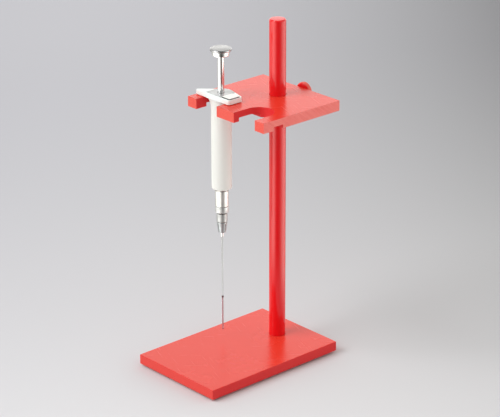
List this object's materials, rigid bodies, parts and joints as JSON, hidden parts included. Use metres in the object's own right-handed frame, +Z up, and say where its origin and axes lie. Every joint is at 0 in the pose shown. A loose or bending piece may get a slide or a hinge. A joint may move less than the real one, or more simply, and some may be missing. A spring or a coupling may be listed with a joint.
{
  "type": "capillary pipette stand",
  "caption": "Bench stand with a round post on a flat base, a height-adjustable slotted shelf clamped by a rear knob, and a capillary pipette hanging in a slot.",
  "frame": {"origin": "under the middle of the object's box, on the surface that the feet stand on", "axes": "+Z up along the post; +X to the right seen from the front; -Y towards the front, where the slots open; the clamp knob is at +Y"},
  "size_m": [0.1, 0.157, 0.3128],
  "materials": {
    "red_plastic": "polished cast acrylic sheet and rod, sawn edges",
    "black_rubber": "matte",
    "zinc_steel": "zinc plated",
    "brass": "turned",
    "white_plastic": "satin moulded",
    "grey_plate": "fine satin",
    "chrome": "polished",
    "satin_metal": "finely turned",
    "silicone": "translucent matte",
    "capillary_glass": "clear drawn glass"
  },
  "bodies": {
    "stand": {"base_plate": "red_plastic", "foot_front_left": "black_rubber", "foot_front_right": "black_rubber", "foot_back_left": "black_rubber", "foot_back_right": "black_rubber", "post": "red_plastic", "post_screw": "zinc_steel"},
    "shelf": {"shelf_plate": "red_plastic", "clamp_insert": "brass"},
    "clamp_stud": {"clamp_screw": "zinc_steel"},
    "knob": {"clamp_knob": "red_plastic"},
    "pipette": {"pipette_body": "white_plastic", "top_plate": "grey_plate", "end_tab": "white_plastic", "rod_bush": "grey_plate", "cylinder_tube": "chrome", "collar_ring": "satin_metal", "collet_jaws": "chrome", "tip_sleeve": "chrome", "grip_sleeve": "silicone", "capillary": "capillary_glass"},
    "chuck": {"chuck_nut": "satin_metal"},
    "plunger": {"plunger_rod": "chrome", "piston_head": "grey_plate", "piston_seal": "black_rubber", "plunger_button": "chrome", "button_collar": "chrome"}
  },
  "joints": [
    {"name": "shelf_height", "type": "slide", "parent": "stand", "child": "shelf", "axis": [0, 0, 1], "range_m": [-0.008, 0.062]},
    {"name": "clamp_travel", "type": "slide", "parent": "shelf", "child": "clamp_stud", "axis": [0, 1, 0], "range_m": [0, 0.00165]},
    {"name": "clamp_turn", "type": "hinge", "parent": "clamp_stud", "child": "knob", "pos_m": [0, 0.0763, 0.2387], "axis": [0, 1, 0], "range_deg": [0, 720]},
    {"name": "pipette_draw", "type": "slide", "parent": "shelf", "child": "pipette", "axis": [0, -1, 0], "range_m": [0, 0.03]},
    {"name": "plunger_press", "type": "slide", "parent": "pipette", "child": "plunger", "axis": [0, 0, -1], "range_m": [0, 0.034]},
    {"name": "chuck_turn", "type": "hinge", "parent": "pipette", "child": "chuck", "pos_m": [-0.02638, 0.00087, 0.1302], "axis": [0, 0, -1], "range_deg": [0, 720]}
  ],
  "couplings": [
    {"joint": "clamp_travel", "follows": "clamp_turn", "m_per_rad": 0.00012732}
  ]
}
